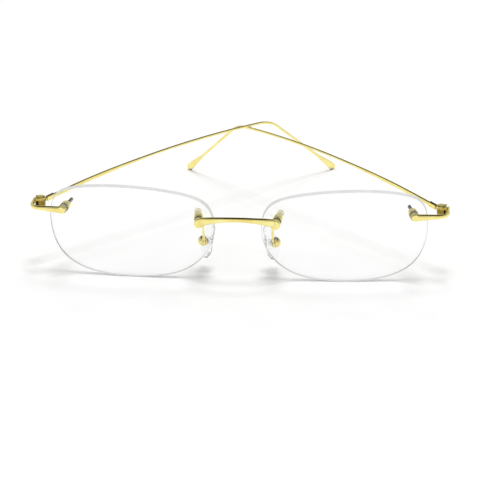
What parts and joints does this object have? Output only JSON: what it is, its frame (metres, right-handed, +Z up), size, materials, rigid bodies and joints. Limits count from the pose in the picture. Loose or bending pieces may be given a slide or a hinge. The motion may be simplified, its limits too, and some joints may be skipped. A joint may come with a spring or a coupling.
{
  "type": "rimless eyeglasses",
  "caption": "Rimless eyeglasses with clear drilled lenses, gold bridge, endpieces, folding wire temples with flat tips, and soft nose pads on arms.",
  "frame": {"origin": "on the ground, midway between the outermost points in X and in Y", "axes": "+X to the wearer's left, +Y from the lenses back towards the ears, +Z up"},
  "size_m": [0.1372, 0.1122, 0.0327],
  "materials": {
    "gold_metal": "polished",
    "dark_metal": "satin",
    "lens": "clear polished",
    "clear_plastic": "clear",
    "nylon": "satin",
    "silicone": "clear soft"
  },
  "bodies": {
    "front": {"bridge": "gold_metal", "bridge_post_left": "gold_metal", "bridge_post_right": "gold_metal", "lens_left": "lens", "lens_right": "lens", "endpiece_left": "gold_metal", "endpiece_right": "gold_metal", "endpiece_post_left": "dark_metal", "endpiece_post_right": "dark_metal", "lens_sleeves_left": "clear_plastic", "lens_sleeves_right": "clear_plastic", "lens_washers_left": "clear_plastic", "lens_washers_right": "clear_plastic", "nuts_left": "gold_metal", "nuts_right": "gold_metal", "lock_ring_left": "dark_metal", "lock_ring_right": "dark_metal", "nut_cap_left": "clear_plastic", "nut_cap_right": "clear_plastic", "hinge_leaf_left": "gold_metal", "hinge_leaf_right": "gold_metal", "hinge_screw_left": "gold_metal", "hinge_screw_right": "gold_metal", "pad_arm_left": "gold_metal", "pad_arm_right": "gold_metal", "pad_box_left": "gold_metal", "pad_box_right": "gold_metal", "pad_screw_left": "gold_metal", "pad_screw_right": "gold_metal"},
    "temple_left": {"temple_left": "gold_metal", "temple_knuckle_left": "gold_metal", "hinge_washers_left": "nylon"},
    "pad_left": {"nose_pad_left": "silicone", "pad_insert_left": "clear_plastic"},
    "temple_right": {"temple_right": "gold_metal", "temple_knuckle_right": "gold_metal", "hinge_washers_right": "nylon"},
    "pad_right": {"nose_pad_right": "silicone", "pad_insert_right": "clear_plastic"}
  },
  "joints": [
    {"name": "temple_right_hinge", "type": "hinge", "parent": "front", "child": "temple_right", "pos_m": [-0.0657, -0.04031, 0.02213], "axis": [0, -0.0976, 0.9952], "range_deg": [-40, 45.5]},
    {"name": "temple_left_hinge", "type": "hinge", "parent": "front", "child": "temple_left", "pos_m": [0.0657, -0.04031, 0.02213], "axis": [0, 0.0976, -0.9952], "range_deg": [-40, 45.5]},
    {"name": "pad_left_swivel", "type": "hinge", "parent": "front", "child": "pad_left", "pos_m": [0.012, -0.04376, 0.01125], "axis": [-0.5, -0.8619, -0.0845], "range_deg": [-10, 10]},
    {"name": "pad_right_swivel", "type": "hinge", "parent": "front", "child": "pad_right", "pos_m": [-0.012, -0.04376, 0.01125], "axis": [0.5, -0.8619, -0.0845], "range_deg": [-10, 10]}
  ],
  "couplings": [
    {"joint": "temple_left_hinge", "follows": "temple_right_hinge", "ratio": 1}
  ]
}
